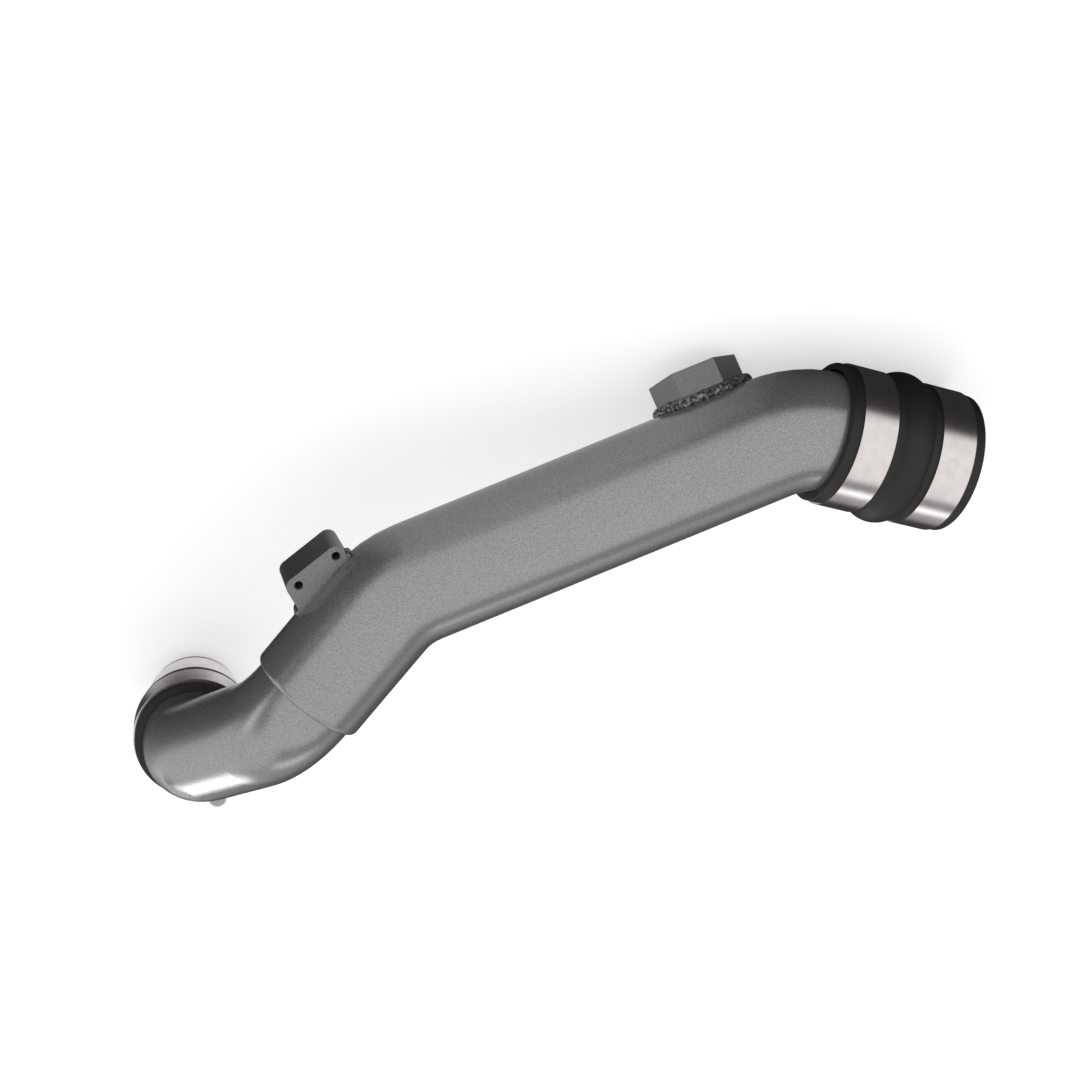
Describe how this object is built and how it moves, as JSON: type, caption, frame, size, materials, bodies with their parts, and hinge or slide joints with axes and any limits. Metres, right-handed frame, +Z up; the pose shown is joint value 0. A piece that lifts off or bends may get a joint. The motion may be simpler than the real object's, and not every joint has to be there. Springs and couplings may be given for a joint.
{
  "type": "intercooler pipe",
  "caption": "Bent charge-air tube with a necked elbow, welded sensor and bracket bosses, and a hump hose and a reducer hose held by T-bolt clamps.",
  "frame": {"origin": "bottom centre of the box round the whole assembly as it lies at rest", "axes": "+Z up at rest; +X runs in plan along the long straight of the main tube, from the hump hose towards the elbow; +Y completes a right-handed frame"},
  "size_m": [0.5023, 0.1992, 0.1535],
  "materials": {
    "coated_tube": "satin grey metallic powder coat over aluminium tube",
    "coated_boss": "the same coat over a machined aluminium block",
    "coated_weld": "the same coat, thinner and darker over a weld bead",
    "silicone": "matt dark silicone over fabric plies",
    "stainless_strip": "bright rolled stainless strip",
    "plated_hardware": "bright plated steel"
  },
  "bodies": {
    "root": {"bracket_boss": "coated_boss", "bracket_boss_weld": "coated_weld", "elbow_pipe": "coated_tube", "hump_hose": "silicone", "hump_inner_clamp_band": "stainless_strip", "hump_inner_clamp_bridge": "stainless_strip", "hump_inner_clamp_lock_nut": "plated_hardware", "hump_inner_clamp_t_bolt": "plated_hardware", "hump_inner_clamp_trunnion": "plated_hardware", "hump_outer_clamp_band": "stainless_strip", "hump_outer_clamp_bridge": "stainless_strip", "hump_outer_clamp_lock_nut": "plated_hardware", "hump_outer_clamp_t_bolt": "plated_hardware", "hump_outer_clamp_trunnion": "plated_hardware", "main_pipe": "coated_tube", "reducer_hose": "silicone", "reducer_large_clamp_band": "stainless_strip", "reducer_large_clamp_bridge": "stainless_strip", "reducer_large_clamp_lock_nut": "plated_hardware", "reducer_large_clamp_t_bolt": "plated_hardware", "reducer_large_clamp_trunnion": "plated_hardware", "reducer_small_clamp_band": "stainless_strip", "reducer_small_clamp_bridge": "stainless_strip", "reducer_small_clamp_lock_nut": "plated_hardware", "reducer_small_clamp_t_bolt": "plated_hardware", "reducer_small_clamp_trunnion": "plated_hardware", "sensor_boss": "coated_boss", "sensor_boss_weld": "coated_weld"}
  },
  "joints": []
}
